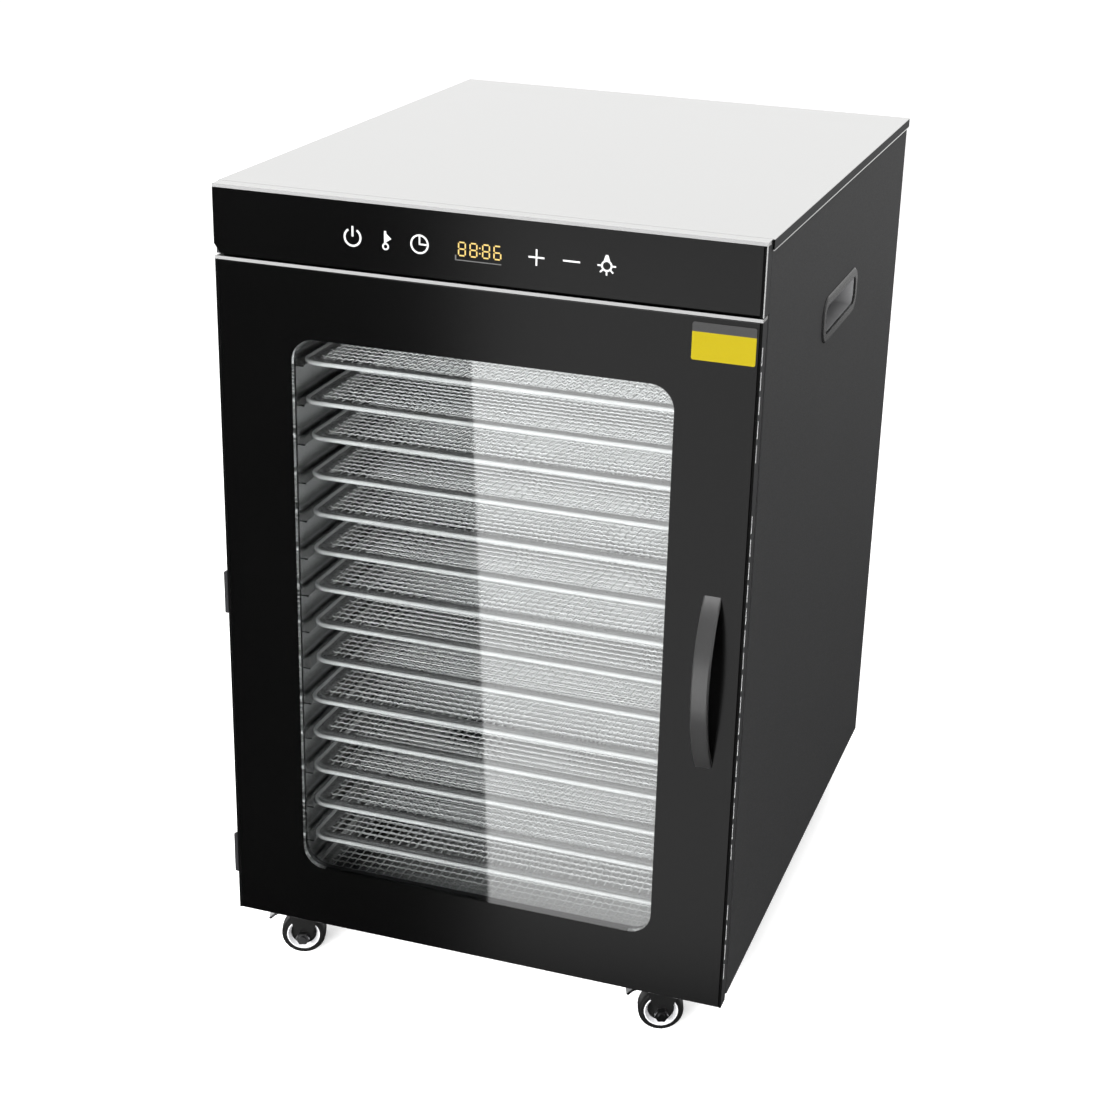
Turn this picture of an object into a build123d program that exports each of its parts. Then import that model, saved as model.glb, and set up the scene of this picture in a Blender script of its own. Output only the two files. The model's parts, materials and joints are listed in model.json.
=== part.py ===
from build123d import *
import math
import os

os.makedirs("parts", exist_ok=True)

# Food dehydrator: a steel cabinet on casters with a glass door and sixteen mesh trays.
# Millimetres. X is across, the front faces -Y and Z is up from the floor.
# The origin is on the floor, under the middle of the cabinet.

# ---------------------------------------------------------------- driving dimensions
sheet = 1.2                  # outer sheet steel
liner_sheet = 1.0            # stainless liner
clear = 0.05                 # radial clearance of a running fit

# cabinet
half_width = 215.0
front_y = -250.0             # front face of the door and of the control glass
body_front_y = -234.0        # front face of the cabinet body
back_y = 278.0
base_z = 56.0                # underside of the base pan
pan_flange = 5.5             # height of the base pan's turned-up edge
fascia_z = 626.0             # underside of the control fascia
top_z = 680.0
cover_lip = 8.5              # depth of the top cover's turned-down edge
seam_y = front_y + 13.0      # seam between the control fascia and the top cover

# chamber
chamber_half = 164.5
chamber_floor_z = 63.0
chamber_ceiling_z = 597.0
chamber_back_y = 172.0

# door
door_half = 214.6
door_low_z = 52.0
door_high_z = 625.0
door_back_y = -237.0
glass_thickness = 4.0
edge_strip = 1.6             # steel edge seen beside the door glass
window_half = 152.5
window_low_z = 106.3
window_high_z = 567.8
window_radius = 19.0
vent_pitch = 18.3            # small slots along the door's side edges
vent_length = 13.5
vent_width = 2.4
vent_first_z = 78.0
vent_count = 29
vent_gaps = (4, 5, 22, 23)   # places in the row that have no slot
foot_tab = (50.0, 86.0)      # small tab under the door's bottom edge, across
foot_tab_drop = 2.4
label_at = (187.0, 604.0)
label_size = (47.4, 28.0)
label_film = 0.3
magnet_span = (190.0, 202.0)
magnet_heights = (180.0, 500.0)
magnet_length = 40.0

# door hinges, on the left
hinge_x = -218.2
hinge_y = -243.0
hinge_heights = (101.5, 343.5)
hinge_height = 35.0
knuckle_radius = 2.9
hinge_pin_radius = 1.6
hinge_leaf = 1.5

# door handle
handle_x = 189.0
handle_z = 337.0
handle_width = 14.0
handle_span = 144.0
handle_rise = 25.0
handle_thickness = 4.0

# trays
tray_count = 16
tray_first_z = 84.5
tray_pitch = 32.5
tray_half = 161.0
tray_front_y = -220.0        # centreline of the front bead
tray_depth = 372.0
tray_pushed_in = 9.0         # the trays that stand further in
tray_pushed = range(7, 14)
bead_radius = 1.8
rim_width = 12.0
rim_sheet = 1.0
tray_corner = 14.0
mesh_bar = 3.0
mesh_cells = (9, 11)
runner_width = 9.0
runner_gap = 0.1

# casters
caster_x = 163.0
caster_front_y = -214.0
caster_back_y = 232.0
caster_turn = 20.0           # every caster trails the same way, as after a push
caster_trail = 8.0
wheel_radius = 19.0          # from the axle to the floor, under load
tyre_squash = 0.1            # the loaded tyre is pressed flat by this much where it stands
wheel_width = 15.0
wheel_crown = 0.15           # the tread stands this much higher at its middle
wheel_hub_radius = 5.2
wheel_web = 2.0              # half thickness of the web at the hub
wheel_ring_inner = 13.3      # raised ring round the dished web
wheel_ring_outer = 14.0
axle_radius = 3.0
kingpin_radius = 3.0
plate_half = 20.0
plate_thickness = 2.5
plate_hole_offset = 15.0
plate_hole_radius = 2.2
fork_inner_half = 8.6
fork_sheet = 2.4
lever_pivot = (-16.0, 43.5)  # along the trail and up, from the kingpin and the floor
lever_pin_radius = 1.5

# fan
fan_z = 330.0
fan_y = 195.0
impeller_radius = 80.0
motor_radius = 36.0
motor_front_y = 214.0
motor_length = 42.0
shaft_radius = 3.0

# side grips
grip_y = 19.0
grip_z = 569.0
grip_length = 130.0
grip_height = 38.5
grip_radius = 15.0
grip_lip = 5.0
grip_proud = 1.6
grip_depth = 34.0
grip_wall = 2.0

# touch controls
display_width = 38.0
display_height = 17.0
control_z = 651.3

# power inlet
inlet_x = -150.0
inlet_z = 100.0

# screws of the back panel
panel_screw_x = 206.0
panel_screw_heights = (90.0, 250.0, 420.0, 600.0)
screw_radius = 1.4
screw_head_radius = 3.2
screw_hole_radius = 1.5
plate_screw_radius = 2.0
plate_screw_head_radius = 3.6
inlet_screw_head_radius = 2.6


# ---------------------------------------------------------------- helpers
def slab(x_span, y_span, z_span, mode=Mode.ADD):
    """A box given by its low and high limits along each axis."""
    spans = (x_span, y_span, z_span)
    with Locations(tuple((low + high) / 2 for low, high in spans)):
        Box(*(high - low for low, high in spans), mode=mode)


def rod(start, end, radius, mode=Mode.ADD):
    """A round rod between two points."""
    path = Vector(*end) - Vector(*start)
    middle = (Vector(*end) + Vector(*start)) * 0.5
    with Locations(Plane(middle, z_dir=path).location):
        Cylinder(radius, path.length, mode=mode)


def save(part, name):
    """Labels a finished sub-part and writes it."""
    part.label = name
    export_step(part, f"parts/{name}.step")


def panel_screw_holes():
    """Holes for the screws that hold the back panel to the sides."""
    for x_side in (-1, 1):
        for height in panel_screw_heights:
            at_x = x_side * panel_screw_x
            rod((at_x, back_y - 10, height), (at_x, back_y + 1, height), screw_hole_radius, Mode.SUBTRACT)


def tray_z(number):
    """Height of a tray's front bead, counted from 1 at the bottom."""
    return tray_first_z + (number - 1) * tray_pitch


# ---------------------------------------------------------------- cabinet shell
with BuildPart() as base_pan:
    inner = half_width - sheet - 0.3
    slab((-inner, inner), (body_front_y + 2.6, back_y - 2 * sheet - 0.3), (base_z, base_z + pan_flange))
    slab(
        (-inner + 1.5, inner - 1.5),
        (body_front_y + 4.1, back_y - 2 * sheet - 1.8),
        (base_z + 1.5, base_z + pan_flange + 1),
        mode=Mode.SUBTRACT,
    )
    for centre_y in (caster_front_y, caster_back_y):
        for side in (-1, 1):
            with BuildSketch(Plane.XY.offset(base_z - 1)):
                with Locations((side * caster_x, centre_y)):
                    with GridLocations(2 * plate_hole_offset, 2 * plate_hole_offset, 2, 2):
                        Circle(plate_hole_radius)
            extrude(amount=4, mode=Mode.SUBTRACT)
save(base_pan.part, "base_pan")


def side_panel(side):
    """Folded side sheet with a front and a rear return and the hole for the grip."""
    outer = side * half_width
    top = top_z - cover_lip - 0.6
    with BuildPart() as panel:
        with BuildSketch(Plane.XY.offset(base_z)):
            with BuildLine():
                Polyline(
                    (outer - side * 15, body_front_y),
                    (outer, body_front_y),
                    (outer, back_y - sheet - 0.1),
                    (outer - side * 13, back_y - sheet - 0.1),
                )
                offset(amount=sheet, side=Side.RIGHT if side < 0 else Side.LEFT)
            make_face()
        extrude(amount=fascia_z - base_z)
        inner = outer - side * sheet
        slab(
            (min(outer, inner), max(outer, inner)),
            (seam_y + 0.3, back_y - sheet - 0.1),
            (fascia_z, top),
        )
        slab(
            (outer - 2 * sheet, outer + 2 * sheet),
            (grip_y - grip_length / 2 + grip_lip, grip_y + grip_length / 2 - grip_lip),
            (grip_z - grip_height / 2 + grip_lip, grip_z + grip_height / 2 - grip_lip),
            mode=Mode.SUBTRACT,
        )
        panel_screw_holes()
    return panel.part


save(side_panel(-1), "left_side_panel")
save(side_panel(1), "right_side_panel")

with BuildPart() as back_panel:
    slab(
        (-half_width + sheet + 0.2, half_width - sheet - 0.2),
        (back_y - sheet, back_y),
        (base_z + 0.3, top_z - cover_lip - 0.6),
    )
    with BuildSketch(Plane.XZ.offset(-back_y - 1)):
        with Locations((0, fan_z)):
            with GridLocations(20, 9, 7, 11):
                SlotOverall(16, 3.5)
        with Locations((inlet_x, inlet_z)):
            Rectangle(28.4, 20.8)
    extrude(amount=4, mode=Mode.SUBTRACT)
    panel_screw_holes()
save(back_panel.part, "back_panel")

with BuildPart() as top_cover:
    cover_half = half_width + 1.4
    slab((-cover_half, cover_half), (seam_y, back_y + 1.6), (top_z - cover_lip, top_z))
    slab(
        (-cover_half + sheet, cover_half - sheet),
        (seam_y - 1, back_y + 1.6 - sheet),
        (top_z - cover_lip - 1, top_z - sheet),
        mode=Mode.SUBTRACT,
    )
    rim_edges = top_cover.edges().filter_by(Axis.Z).group_by(Axis.Y)[-1]
    fillet(rim_edges.filter_by_position(Axis.Z, top_z - cover_lip, top_z), radius=0.8)
save(top_cover.part, "top_cover")


# ---------------------------------------------------------------- control fascia
with BuildPart() as control_fascia:
    slab((-half_width, half_width), (front_y, seam_y - 0.3), (fascia_z, top_z))
    pocket_back = front_y + glass_thickness + sheet
    slab(
        (-half_width + sheet, half_width - sheet),
        (pocket_back, seam_y + 1),
        (fascia_z + sheet, top_z - sheet),
        mode=Mode.SUBTRACT,
    )
    slab(
        (-half_width - 1, half_width - 3),
        (front_y - 1, front_y + glass_thickness),
        (fascia_z - 1, top_z - 2.5),
        mode=Mode.SUBTRACT,
    )
    slab(
        (-display_width / 2 - 1, display_width / 2 + 1),
        (front_y, pocket_back + 1),
        (control_z - display_height / 2 - 1, control_z + display_height / 2 + 1),
        mode=Mode.SUBTRACT,
    )
save(control_fascia.part, "control_fascia")

with BuildPart() as control_glass:
    with BuildSketch(Plane.XZ.offset(-front_y)):
        with BuildLine():
            Polyline(
                (-half_width, top_z - 2.7),
                (half_width - 3.2, top_z - 2.7),
                (half_width - 3.2, fascia_z + 0.2),
                (-half_width + 5.5, fascia_z + 0.2),
                (-half_width, fascia_z + 8.5),
                close=True,
            )
        make_face()
    extrude(amount=-glass_thickness + 0.05)
    front_edges = control_glass.faces().sort_by(Axis.Y)[0].edges()
    chamfer(front_edges.sort_by(Axis.Z)[0], length=1.2)
save(control_glass.part, "control_glass")

with BuildPart() as display_module:
    slab(
        (-display_width / 2, display_width / 2),
        (front_y + glass_thickness + 0.1, front_y + glass_thickness + 4.6),
        (control_z - display_height / 2, control_z + display_height / 2),
    )
    with BuildSketch(Plane.XZ.offset(-front_y - glass_thickness)):
        with Locations((0, control_z)):
            with GridLocations(8.6, 1, 4, 1):
                Rectangle(6.2, 11.5)
                Rectangle(4.4, 9.7, mode=Mode.SUBTRACT)
    extrude(amount=-0.5, mode=Mode.SUBTRACT)
save(display_module.part, "display_module")

with BuildPart() as control_board:
    board_y = front_y + glass_thickness + 4.8
    slab((-185, 185), (board_y, board_y + 1.6), (control_z - 17, control_z + 17))
    with BuildSketch(Plane.XZ.offset(-board_y - 1.6)):
        with Locations((-60, control_z), (60, control_z), (150, control_z)):
            Rectangle(14, 14)
    extrude(amount=-2.2)
save(control_board.part, "control_board")

with BuildPart() as power_board:
    board_z = chamber_ceiling_z + 14
    slab((-70, 70), (60, 160), (board_z, board_z + 1.6))
    slab((-60, -20), (75, 120), (board_z + 1.6, board_z + 28))
    slab((0, 24), (75, 105), (board_z + 1.6, board_z + 18))
    slab((34, 60), (75, 100), (board_z + 1.6, board_z + 18))
    slab((-60, 60), (140, 154), (board_z + 1.6, board_z + 13))
    with BuildSketch(Plane.XY.offset(chamber_ceiling_z + liner_sheet)):
        with Locations((0, 110)):
            with GridLocations(126, 86, 2, 2):
                Circle(3)
    extrude(amount=14 - liner_sheet)
save(power_board.part, "power_board")


# ---------------------------------------------------------------- chamber
with BuildPart() as front_frame:
    frame_y = body_front_y + sheet
    with BuildSketch(Plane.XZ.offset(-frame_y)):
        with Locations((0, (base_z + 1.8 + fascia_z) / 2)):
            Rectangle(2 * (half_width - sheet - 0.3), fascia_z - base_z - 1.8)
        with Locations((0, (chamber_floor_z + chamber_ceiling_z) / 2)):
            RectangleRounded(
                2 * (chamber_half - 0.5), chamber_ceiling_z - chamber_floor_z - 1, 6, mode=Mode.SUBTRACT
            )
    extrude(amount=-sheet)
save(front_frame.part, "front_frame")

liner_front_y = body_front_y + 2 * sheet + 0.1
with BuildPart() as liner_floor:
    slab(
        (-chamber_half, chamber_half),
        (liner_front_y, back_y - 40),
        (chamber_floor_z - liner_sheet, chamber_floor_z),
    )
save(liner_floor.part, "liner_floor")

with BuildPart() as liner_ceiling:
    slab(
        (-chamber_half, chamber_half),
        (liner_front_y, back_y - 40),
        (chamber_ceiling_z, chamber_ceiling_z + liner_sheet),
    )
    with BuildSketch(Plane.XY.offset(chamber_ceiling_z)):
        with Locations((0, body_front_y + 50)):
            Circle(15.2)
    extrude(amount=liner_sheet, mode=Mode.SUBTRACT)
save(liner_ceiling.part, "liner_ceiling")


def rack_wall(side):
    """Chamber side wall with one runner for each tray."""
    face = side * chamber_half
    outer = face + side * liner_sheet
    tip = face - side * runner_width
    with BuildPart() as wall:
        slab(
            (min(face, outer), max(face, outer)),
            (liner_front_y, back_y - 40),
            (chamber_floor_z - liner_sheet, chamber_ceiling_z + liner_sheet),
        )
        for number in range(1, tray_count + 1):
            runner_top = tray_z(number) - bead_radius - runner_gap
            slab(
                (min(face, tip), max(face, tip)),
                (liner_front_y + 8, chamber_back_y - 8),
                (runner_top - 1.2, runner_top),
            )
    return wall.part


save(rack_wall(-1), "left_rack_wall")
save(rack_wall(1), "right_rack_wall")

with BuildPart() as air_baffle:
    slab(
        (-chamber_half + 0.3, chamber_half - 0.3),
        (chamber_back_y, chamber_back_y + liner_sheet),
        (chamber_floor_z + 0.3, chamber_ceiling_z - 0.3),
    )
    with BuildSketch(Plane.XZ.offset(-chamber_back_y - liner_sheet)):
        with Locations((0, fan_z)):
            with PolarLocations(55, 16):
                Circle(6)
            with PolarLocations(30, 9):
                Circle(6)
            Circle(6)
        for edge in (-1, 1):
            with Locations((edge * 135, fan_z)):
                with GridLocations(1, 32.5, 1, 15):
                    SlotOverall(36, 5)
        with Locations((-80, 560)):
            Circle(2.8)
    extrude(amount=2 * liner_sheet, mode=Mode.SUBTRACT)
save(air_baffle.part, "air_baffle")

with BuildPart() as chamber_lamp:
    lamp_y = body_front_y + 50
    rod((0, lamp_y, chamber_ceiling_z - 7), (0, lamp_y, chamber_ceiling_z - 0.1), 18)
    fillet(chamber_lamp.edges().sort_by(Axis.Z)[0], radius=6)
    rod((0, lamp_y, chamber_ceiling_z - 1), (0, lamp_y, chamber_ceiling_z + 12), 15)
save(chamber_lamp.part, "chamber_lamp")


# ---------------------------------------------------------------- air system
with BuildPart() as fan_motor:
    motor_back_y = motor_front_y + motor_length
    with BuildSketch(Plane.XZ.offset(-motor_front_y)):
        with Locations((0, fan_z)):
            Circle(motor_radius)
    extrude(amount=-motor_length)
    fillet(fan_motor.edges().filter_by(GeomType.CIRCLE), radius=4)
    slab((-55, 55), (motor_back_y, motor_back_y + 2), (fan_z - 55, fan_z + 55))
    for x_side in (-1, 1):
        for z_side in (-1, 1):
            rod(
                (x_side * 48, motor_back_y + 1, fan_z + z_side * 48),
                (x_side * 48, back_y - sheet - 0.05, fan_z + z_side * 48),
                4,
            )
    rod((0, motor_front_y - 1, fan_z), (0, motor_back_y - 2, fan_z), shaft_radius + clear, Mode.SUBTRACT)
save(fan_motor.part, "fan_motor")

with BuildPart() as fan_impeller:
    hub_radius = 14.0
    with BuildSketch(Plane.XZ.offset(-fan_y)):
        with Locations((0, fan_z)):
            Circle(impeller_radius)
    extrude(amount=-1.2)
    with BuildSketch(Plane.XZ.offset(-fan_y)):
        with Locations((0, fan_z)):
            with PolarLocations((impeller_radius + 28) / 2, 12):
                Rectangle(impeller_radius - 30, 1.4, rotation=24)
    extrude(amount=16)
    rod((0, fan_y - 17, fan_z), (0, fan_y + 8, fan_z), hub_radius)
    rod((0, fan_y, fan_z), (0, motor_back_y - 4, fan_z), shaft_radius)
save(fan_impeller.part, "fan_impeller")

with BuildPart() as heating_element:
    ring_radius = 95.0
    tube_radius = 4.0
    leg_angle = math.radians(12)
    leg_x = ring_radius * math.sin(leg_angle)
    leg_z = fan_z - ring_radius * math.cos(leg_angle)
    for side in (-1, 1):
        rod((side * leg_x, fan_y - 6, leg_z), (side * leg_x, back_y - sheet - 0.1, leg_z), tube_radius)
    with BuildSketch(Plane.XY.offset(fan_z)):
        with Locations((ring_radius, fan_y - 6)):
            Circle(tube_radius)
    revolve(axis=Axis((0, fan_y - 6, fan_z), (0, 1, 0)), revolution_arc=360)
    slab((-leg_x + 2.5, leg_x - 2.5), (fan_y - 12, fan_y), (leg_z - 12, leg_z + 8), Mode.SUBTRACT)
save(heating_element.part, "heating_element")

with BuildPart() as temperature_probe:
    probe_y = chamber_back_y + liner_sheet
    rod((-80, chamber_back_y - 22, 560), (-80, probe_y + 1, 560), 2.5)
    rod((-80, probe_y + 0.1, 560), (-80, probe_y + 3, 560), 7)
    rod((-80, probe_y + 3, 560), (-80, probe_y + 14, 560), 4)
save(temperature_probe.part, "temperature_probe")


# ---------------------------------------------------------------- grips and inlet
def recess_grip(side):
    """Moulded cup let into a side panel, with a bevelled lip outside."""
    outer = side * half_width
    wall_plane = Plane(origin=(outer, grip_y, grip_z), x_dir=(0, 1, 0), z_dir=(side, 0, 0))
    body_length = grip_length - 2 * grip_lip - 0.6
    body_height = grip_height - 2 * grip_lip - 0.6
    with BuildPart() as cup:
        with BuildSketch(wall_plane):
            RectangleRounded(grip_length, grip_height, grip_radius)
        extrude(amount=grip_proud)
        rim_edges = cup.faces().sort_by(Axis.X)[-1 if side > 0 else 0].edges()
        chamfer(rim_edges, length=1.1)
        with BuildSketch(wall_plane):
            RectangleRounded(body_length, body_height, grip_radius - grip_lip)
        extrude(amount=-grip_depth)
        with BuildSketch(wall_plane.offset(grip_proud)):
            RectangleRounded(
                body_length - 2 * grip_wall, body_height - 2 * grip_wall, grip_radius - grip_lip - grip_wall
            )
        extrude(amount=-grip_depth - grip_proud + grip_wall, mode=Mode.SUBTRACT)
    return cup.part


save(recess_grip(-1), "left_recess_grip")
save(recess_grip(1), "right_recess_grip")

with BuildPart() as power_inlet:
    slab((inlet_x - 14, inlet_x + 14), (back_y - 22, back_y), (inlet_z - 10.2, inlet_z + 10.2))
    with BuildSketch(Plane.XZ.offset(-back_y)):
        with Locations((inlet_x, inlet_z)):
            RectangleRounded(50, 23, 4)
            with GridLocations(40, 1, 2, 1):
                Circle(1.8, mode=Mode.SUBTRACT)
    extrude(amount=-2)
    slab(
        (inlet_x - 12, inlet_x + 12),
        (back_y - 15, back_y + 3),
        (inlet_z - 8.2, inlet_z + 8.2),
        mode=Mode.SUBTRACT,
    )
    for pin_x, pin_z in ((-7, -1.5), (0, 2.5), (7, -1.5)):
        slab(
            (inlet_x + pin_x - 1, inlet_x + pin_x + 1),
            (back_y - 16, back_y - 1),
            (inlet_z + pin_z - 2, inlet_z + pin_z + 2),
        )
save(power_inlet.part, "power_inlet")


# ---------------------------------------------------------------- door
with BuildPart() as door_frame:
    inner_x = window_half + 3
    inner_low = window_low_z - 3
    inner_high = window_high_z + 3
    slab((-door_half, door_half), (front_y, door_back_y), (door_low_z, door_high_z))
    slab(
        (-door_half + edge_strip, door_half - edge_strip),
        (front_y - 1, front_y + glass_thickness),
        (door_low_z - 1, door_high_z - 2.5),
        mode=Mode.SUBTRACT,
    )
    with BuildSketch(Plane.XZ.offset(-front_y - glass_thickness)):
        with Locations((0, (door_low_z + door_high_z) / 2)):
            Rectangle(2 * (door_half - sheet), door_high_z - door_low_z - 2 * sheet)
        with Locations((0, (inner_low + inner_high) / 2)):
            RectangleRounded(
                2 * (inner_x + sheet), inner_high - inner_low + 2 * sheet, window_radius + 4, mode=Mode.SUBTRACT
            )
    extrude(amount=door_back_y - sheet - front_y - glass_thickness, dir=(0, 1, 0), mode=Mode.SUBTRACT)
    with BuildSketch(Plane.XZ.offset(-front_y)):
        with Locations((0, (inner_low + inner_high) / 2)):
            RectangleRounded(2 * inner_x, inner_high - inner_low, window_radius + 3)
    extrude(amount=-20, mode=Mode.SUBTRACT)
    with BuildSketch(Plane.YZ.offset(-door_half - 1)):
        for place in range(vent_count):
            if place not in vent_gaps:
                middle_z = vent_first_z + place * vent_pitch + vent_length / 2
                with Locations((front_y + 3, middle_z)):
                    SlotOverall(vent_length, vent_width, rotation=90)
    extrude(amount=2 * door_half + 2, mode=Mode.SUBTRACT)
    slab(foot_tab, (front_y + 5, door_back_y - 1), (door_low_z - foot_tab_drop, door_low_z))
save(door_frame.part, "door_frame")

with BuildPart() as door_glass:
    slab(
        (-door_half + edge_strip + 0.2, door_half - edge_strip - 0.2),
        (front_y, front_y + glass_thickness - 0.05),
        (door_low_z, door_high_z - 2.7),
    )
    chamfer(door_glass.faces().sort_by(Axis.Y)[0].edges(), length=0.5)
save(door_glass.part, "door_glass")

with BuildPart() as door_handle:
    half_span = handle_span / 2
    with BuildSketch(Plane.YZ.offset(handle_x - handle_width / 2)):
        with BuildLine():
            ThreePointArc(
                (front_y, handle_z - half_span),
                (front_y - handle_rise, handle_z),
                (front_y, handle_z + half_span),
            )
            Line((front_y, handle_z + half_span), (front_y, handle_z + half_span - 2 * handle_thickness))
            ThreePointArc(
                (front_y, handle_z + half_span - 2 * handle_thickness),
                (front_y - handle_rise + handle_thickness, handle_z),
                (front_y, handle_z - half_span + 2 * handle_thickness),
            )
            Line((front_y, handle_z - half_span + 2 * handle_thickness), (front_y, handle_z - half_span))
        make_face()
    extrude(amount=handle_width)
    long_edges = door_handle.edges().filter_by(GeomType.CIRCLE)
    fillet(long_edges, radius=1.3)
save(door_handle.part, "door_handle")

with BuildPart() as door_gasket:
    gasket_face = body_front_y + sheet - 0.15
    with BuildSketch(Plane.XZ.offset(-door_back_y)):
        with Locations((0, (chamber_floor_z + chamber_ceiling_z) / 2)):
            RectangleRounded(2 * chamber_half + 14, chamber_ceiling_z - chamber_floor_z + 14, 12)
            RectangleRounded(2 * chamber_half + 2, chamber_ceiling_z - chamber_floor_z + 2, 7, mode=Mode.SUBTRACT)
    extrude(amount=door_back_y - gasket_face)
    fillet(door_gasket.faces().sort_by(Axis.Y)[-1].edges(), radius=1.2)
save(door_gasket.part, "door_gasket")

with BuildPart() as door_magnets:
    for magnet_z in magnet_heights:
        slab(
            magnet_span,
            (door_back_y, body_front_y - 0.3),
            (magnet_z - magnet_length / 2, magnet_z + magnet_length / 2),
        )
save(door_magnets.part, "door_magnets")

with BuildPart() as door_label:
    with BuildSketch(Plane.XZ.offset(-front_y)):
        with Locations(label_at):
            RectangleRounded(*label_size, 1.5)
    extrude(amount=label_film)
save(door_label.part, "door_label")


# ---------------------------------------------------------------- door hinges
with BuildPart() as door_hinge_leaves:
    for height in hinge_heights:
        low = height + 0.3
        high = height + hinge_height / 2
        slab((hinge_x, hinge_x + hinge_leaf), (hinge_y, door_back_y), (low, high))
        slab((hinge_x, -door_half), (door_back_y - hinge_leaf, door_back_y), (low, high))
        slab((-door_half - hinge_leaf, -door_half), (front_y + 6, door_back_y), (low, high))
        rod((hinge_x, hinge_y, low), (hinge_x, hinge_y, high), knuckle_radius)
    for height in hinge_heights:
        rod(
            (hinge_x, hinge_y, height), (hinge_x, hinge_y, height + hinge_height), hinge_pin_radius + clear,
            Mode.SUBTRACT,
        )
save(door_hinge_leaves.part, "door_hinge_leaves")

with BuildPart() as cabinet_hinge_brackets:
    for height in hinge_heights:
        low = height - hinge_height / 2
        high = height - 0.3
        slab((-half_width - hinge_leaf, -half_width), (body_front_y + 1, body_front_y + 32), (low, high))
        slab((-half_width - hinge_leaf, -half_width - 0.1), (hinge_y, body_front_y + 32), (low, high))
        slab((hinge_x, -half_width - 0.1), (hinge_y - 1, hinge_y + 1), (low, high))
        rod((hinge_x, hinge_y, low), (hinge_x, hinge_y, high), knuckle_radius)
        rod((hinge_x, hinge_y, low), (hinge_x, hinge_y, height + hinge_height / 2 + 1), hinge_pin_radius)
save(cabinet_hinge_brackets.part, "cabinet_hinge_brackets")


# ---------------------------------------------------------------- trays
with BuildPart() as tray:
    tray_centre = (0, tray_front_y + tray_depth / 2)
    with BuildSketch(Plane.XY.offset(-rim_sheet / 2)):
        with Locations(tray_centre):
            RectangleRounded(2 * tray_half - 2 * bead_radius, tray_depth, tray_corner)
            with GridLocations(
                (2 * tray_half - 2 * rim_width) / mesh_cells[0],
                (tray_depth - 2 * rim_width) / mesh_cells[1],
                *mesh_cells,
            ):
                Rectangle(
                    (2 * tray_half - 2 * rim_width) / mesh_cells[0] - mesh_bar,
                    (tray_depth - 2 * rim_width) / mesh_cells[1] - mesh_bar,
                    mode=Mode.SUBTRACT,
                )
    extrude(amount=rim_sheet)
    side_x = tray_half - bead_radius
    with BuildLine(Plane.XY) as bead_path:
        FilletPolyline(
            (-side_x, tray_front_y),
            (side_x, tray_front_y),
            (side_x, tray_front_y + tray_depth),
            (-side_x, tray_front_y + tray_depth),
            radius=tray_corner,
            close=True,
        )
    with BuildSketch(bead_path.line ^ 0):
        Circle(bead_radius)
    sweep(path=bead_path.line)

for number in range(1, tray_count + 1):
    further_in = tray_pushed_in if number in tray_pushed else 0
    placed = tray.part.moved(Location((0, further_in, tray_z(number))))
    save(placed, f"tray_{number:02d}")


# ---------------------------------------------------------------- casters
caster_places = {
    "front_left": (-caster_x, caster_front_y),
    "front_right": (caster_x, caster_front_y),
    "rear_left": (-caster_x, caster_back_y),
    "rear_right": (caster_x, caster_back_y),
}
crown_z = 46.0               # top of the fork crown
crown_sheet = 3.0

with BuildPart() as caster_plates:
    for place in caster_places.values():
        with BuildSketch(Plane.XY.offset(base_z - plate_thickness)):
            with Locations(place):
                RectangleRounded(2 * plate_half, 2 * plate_half, 4)
                with GridLocations(2 * plate_hole_offset, 2 * plate_hole_offset, 2, 2):
                    Circle(plate_hole_radius, mode=Mode.SUBTRACT)
        extrude(amount=plate_thickness)
        rod((*place, crown_z + 0.3), (*place, base_z - plate_thickness), 12)
        rod((*place, crown_z - crown_sheet - 2), (*place, base_z - plate_thickness), kingpin_radius)
        rod((*place, crown_z - crown_sheet - 2), (*place, crown_z - crown_sheet - 0.3), 5)
save(caster_plates.part, "caster_plates")

with BuildPart() as caster_fork:
    with BuildSketch(Plane.XY.offset(crown_z - crown_sheet)):
        Circle(12)
        with Locations((-3, 0)):
            Rectangle(18, 2 * fork_inner_half + 2 * fork_sheet)
        Circle(kingpin_radius + clear, mode=Mode.SUBTRACT)
    extrude(amount=crown_sheet)
    for side in (-1, 1):
        leg_plane = Plane.XZ.offset(-side * fork_inner_half - (fork_sheet if side > 0 else 0))
        with BuildSketch(leg_plane):
            with BuildLine():
                Polyline(
                    (-caster_trail - 6, wheel_radius), (-19.5, crown_z - 6), (-19.5, crown_z), (8, crown_z),
                    (-caster_trail + 7.5, wheel_radius),
                )
                ThreePointArc(
                    (-caster_trail + 7.5, wheel_radius),
                    (-caster_trail + 0.75, wheel_radius - 7),
                    (-caster_trail - 6, wheel_radius),
                )
            make_face()
            with Locations((-caster_trail, wheel_radius)):
                Circle(axle_radius, mode=Mode.SUBTRACT)
            with Locations(lever_pivot):
                Circle(lever_pin_radius + clear, mode=Mode.SUBTRACT)
        extrude(amount=fork_sheet)
    outer_y = fork_inner_half + fork_sheet
    rod((-caster_trail, -outer_y - 6.5, wheel_radius), (-caster_trail, outer_y + 1, wheel_radius), axle_radius)
    for face_y, head in ((-outer_y, 5.0), (outer_y + 3.6, 3.6)):
        with BuildSketch(Plane.XZ.offset(-face_y)):
            with Locations((-caster_trail, wheel_radius)):
                RegularPolygon(5.8, 6)
        extrude(amount=head)
for name, place in caster_places.items():
    save(caster_fork.part.moved(Location((*place, 0), (0, 0, caster_turn))), f"caster_fork_{name}")

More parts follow.
